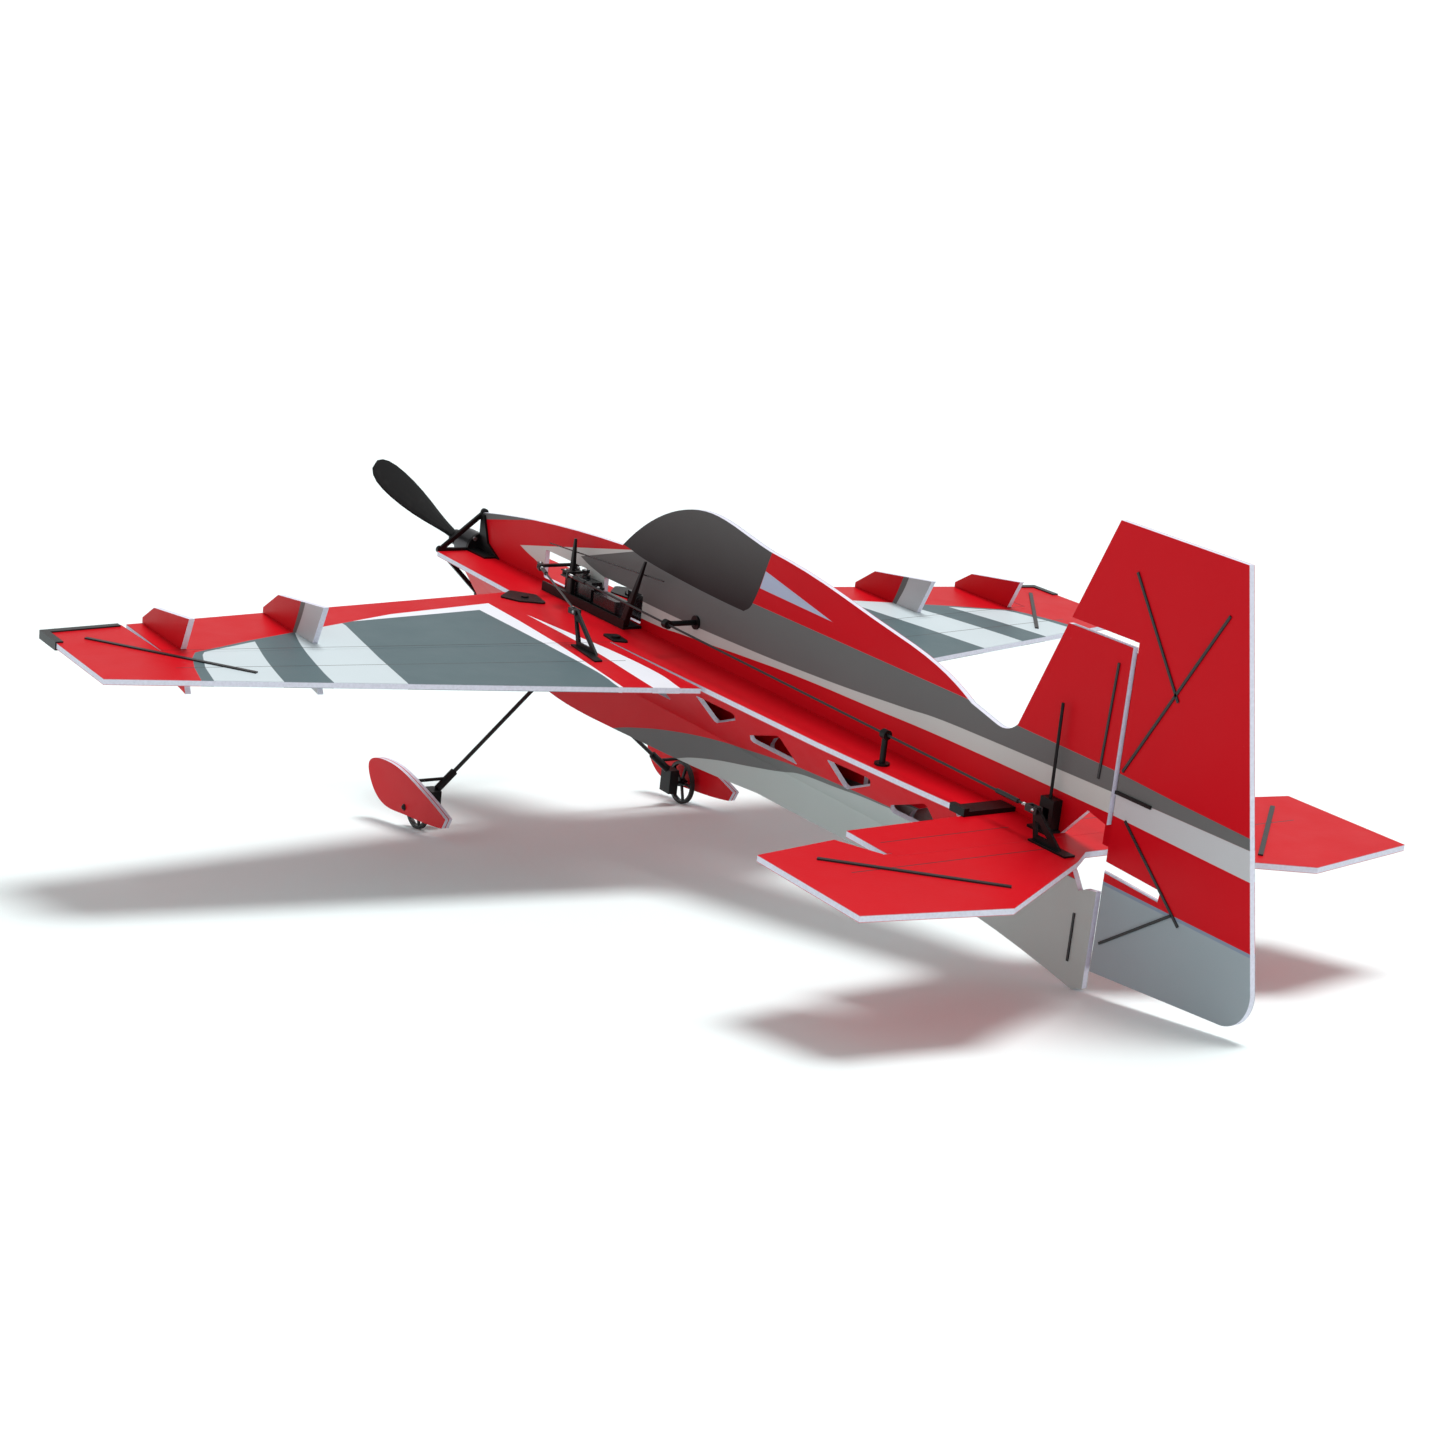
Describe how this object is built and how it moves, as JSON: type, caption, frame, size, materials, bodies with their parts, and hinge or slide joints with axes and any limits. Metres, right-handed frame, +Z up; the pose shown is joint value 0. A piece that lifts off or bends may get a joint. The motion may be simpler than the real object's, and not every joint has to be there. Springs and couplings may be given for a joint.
{
  "type": "model aeroplane",
  "caption": "Small electric aerobatic foam aeroplane with flat profile fuselage, hinged control surfaces, pushrods, propeller and spoked wheels in teardrop pants.",
  "frame": {"origin": "on the floor under the middle of the bounding box, with the aeroplane standing on its two wheels and the rear lower corner of its fin", "axes": "+Z up, +X towards the left wing tip, +Y towards the tail (the nose points along -Y)"},
  "size_m": [0.862, 0.9374, 0.2782],
  "materials": {
    "red_foam": "printed satin film over foam",
    "grey_foam": "printed satin film over foam",
    "slate_foam": "printed satin film over foam",
    "carbon": "pultruded carbon",
    "black_plastic": "moulded nylon",
    "gloss_black": "moulded, glossy",
    "dark_rubber": "soft",
    "copper_steel": "laminations with copper windings",
    "anodised": "anodised",
    "steel": "bright",
    "servo_case": "moulded",
    "battery_wrap": "shrink film",
    "strap_weave": "woven hook-and-loop"
  },
  "bodies": {
    "airframe": {"fuselage_sheet": "grey_foam", "upper_profile": "grey_foam", "stabiliser": "red_foam", "fixed_strips": "carbon", "tail_fittings": "black_plastic", "wing_root_plates": "black_plastic", "motor_mount": "black_plastic", "motor_stator": "copper_steel", "mount_screws": "steel", "servo_tray": "black_plastic", "receiver": "black_plastic", "speed_controller": "black_plastic", "battery": "battery_wrap", "battery_strap": "strap_weave", "aileron_servo": "servo_case", "elevator_servo": "servo_case", "rudder_servo": "servo_case", "pushrod_guides": "black_plastic", "gear_socket": "black_plastic", "keel": "grey_foam", "side_panel_left": "grey_foam", "side_panel_right": "grey_foam", "wing_left": "slate_foam", "wing_right": "slate_foam", "side_plate_inner_left": "red_foam", "side_plate_inner_right": "red_foam", "side_plate_outer_left": "red_foam", "side_plate_outer_right": "red_foam", "gear_strut_left": "carbon", "gear_strut_right": "carbon", "gear_link_left": "black_plastic", "gear_link_right": "black_plastic", "wheel_pant_left": "red_foam", "wheel_pant_right": "red_foam"},
    "propeller_group": {"motor_bell": "anodised", "propeller": "gloss_black", "prop_nut": "steel"},
    "aileron_left": {"aileron_left": "red_foam", "aileron_strips_left": "carbon", "tip_guard_left": "black_plastic", "aileron_horn_left": "black_plastic"},
    "aileron_right": {"aileron_right": "red_foam", "aileron_strips_right": "carbon", "tip_guard_right": "black_plastic", "aileron_horn_right": "black_plastic"},
    "elevator": {"elevator": "red_foam", "elevator_strips": "carbon", "elevator_horn": "black_plastic"},
    "rudder": {"rudder": "red_foam", "rudder_braces": "carbon", "rudder_horn": "black_plastic"},
    "aileron_servo_arm": {"aileron_servo_arm": "black_plastic"},
    "elevator_servo_arm": {"elevator_servo_arm": "black_plastic"},
    "rudder_servo_arm": {"rudder_servo_arm": "black_plastic"},
    "aileron_pushrod_left": {"aileron_pushrod_left": "carbon"},
    "aileron_pushrod_right": {"aileron_pushrod_right": "carbon"},
    "elevator_pushrod": {"elevator_pushrod": "carbon"},
    "rudder_pushrod": {"rudder_pushrod": "carbon"},
    "wheel_left": {"wheel_left": "dark_rubber"},
    "wheel_right": {"wheel_right": "dark_rubber"}
  },
  "joints": [
    {"name": "propeller_spin", "type": "hinge", "parent": "airframe", "child": "propeller_group", "pos_m": [0, -0.45418, 0.20548], "axis": [0, -0.9889, 0.1488], "continuous": true},
    {"name": "aileron_left_hinge", "type": "hinge", "parent": "airframe", "child": "aileron_left", "pos_m": [0.045, -0.13201, 0.15699], "axis": [0.9934, -0.1133, 0.0171], "range_deg": [-30, 30]},
    {"name": "aileron_right_hinge", "type": "hinge", "parent": "airframe", "child": "aileron_right", "pos_m": [-0.045, -0.13201, 0.15699], "axis": [0.9934, 0.1133, -0.0171], "range_deg": [-30.2, 30.2]},
    {"name": "elevator_hinge", "type": "hinge", "parent": "airframe", "child": "elevator", "pos_m": [0, 0.30962, 0.09053], "axis": [1, 0, 0], "range_deg": [-30, 30]},
    {"name": "rudder_hinge", "type": "hinge", "parent": "airframe", "child": "rudder", "pos_m": [-0.002, 0.34581, 0.08509], "axis": [0, 0.1488, 0.9889], "range_deg": [-27, 27]},
    {"name": "aileron_arm_turn", "type": "hinge", "parent": "airframe", "child": "aileron_servo_arm", "pos_m": [0, -0.26204, 0.19881], "axis": [0, 0.1488, 0.9889], "range_deg": [-23.4, 23.4]},
    {"name": "elevator_arm_turn", "type": "hinge", "parent": "airframe", "child": "elevator_servo_arm", "pos_m": [0.009, -0.23108, 0.19617], "axis": [0, 0.1488, 0.9889], "range_deg": [-30.2, 30.2]},
    {"name": "rudder_arm_turn", "type": "hinge", "parent": "airframe", "child": "rudder_servo_arm", "pos_m": [-0.009, -0.1856, 0.18933], "axis": [0, 0.1488, 0.9889], "range_deg": [-38.3, 38.3]},
    {"name": "aileron_rod_left_slide", "type": "slide", "parent": "airframe", "child": "aileron_pushrod_left", "axis": [0.1146, 0.9823, -0.1478], "range_m": [-0.0127, 0.0127]},
    {"name": "aileron_rod_right_slide", "type": "slide", "parent": "airframe", "child": "aileron_pushrod_right", "axis": [-0.1146, 0.9823, -0.1478], "range_m": [-0.0127, 0.0127]},
    {"name": "elevator_rod_slide", "type": "slide", "parent": "airframe", "child": "elevator_pushrod", "axis": [0, 0.9869, -0.1616], "range_m": [-0.0096, 0.0096]},
    {"name": "rudder_rod_slide", "type": "slide", "parent": "airframe", "child": "rudder_pushrod", "axis": [0, 0.9917, -0.129], "range_m": [-0.0115, 0.0115]},
    {"name": "wheel_left_spin", "type": "hinge", "parent": "airframe", "child": "wheel_left", "pos_m": [0.119, -0.29033, 0.0175], "axis": [1, 0, 0], "continuous": true},
    {"name": "wheel_right_spin", "type": "hinge", "parent": "airframe", "child": "wheel_right", "pos_m": [-0.119, -0.29033, 0.0175], "axis": [1, 0, 0], "continuous": true}
  ],
  "couplings": [
    {"joint": "aileron_right_hinge", "follows": "aileron_left_hinge", "ratio": -1},
    {"joint": "aileron_arm_turn", "follows": "aileron_left_hinge", "ratio": -0.77419},
    {"joint": "aileron_rod_left_slide", "follows": "aileron_left_hinge", "m_per_rad": -0.024},
    {"joint": "aileron_rod_right_slide", "follows": "aileron_left_hinge", "m_per_rad": 0.024},
    {"joint": "elevator_arm_turn", "follows": "elevator_hinge", "ratio": -1},
    {"joint": "elevator_rod_slide", "follows": "elevator_hinge", "m_per_rad": -0.018},
    {"joint": "rudder_arm_turn", "follows": "rudder_hinge", "ratio": 1.4118},
    {"joint": "rudder_rod_slide", "follows": "rudder_hinge", "m_per_rad": -0.024}
  ]
}
